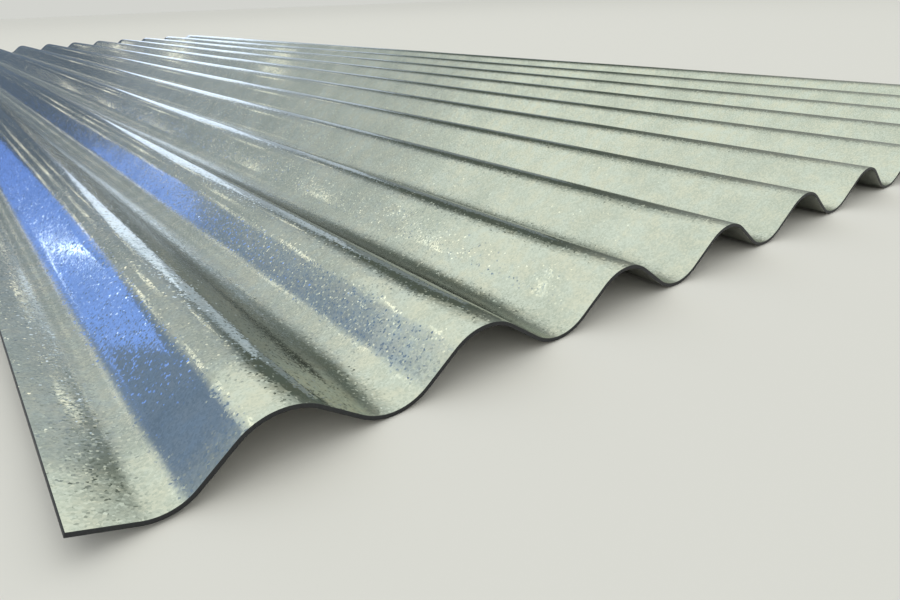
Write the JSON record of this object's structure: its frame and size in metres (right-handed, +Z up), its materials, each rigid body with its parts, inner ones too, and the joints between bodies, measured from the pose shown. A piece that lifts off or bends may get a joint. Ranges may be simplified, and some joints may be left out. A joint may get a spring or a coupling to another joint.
{
  "type": "corrugated metal sheet",
  "caption": "Galvanised steel sheet roll-formed into a round wave, sheared square at both ends, with a shallow lip along each long side.",
  "frame": {"origin": "on the floor plane under the middle of the sheet, where the undersides of the troughs rest", "axes": "+X across the waves, +Y along the waves and the length, +Z up through the crests"},
  "size_m": [0.8758, 2.44, 0.0193],
  "materials": {
    "galvanised_steel": "hot-dip galvanised zinc with a fine mottled spangle, dulled, with bare sheared edges"
  },
  "bodies": {
    "root": {"corrugated_sheet": "galvanised_steel"}
  },
  "joints": []
}
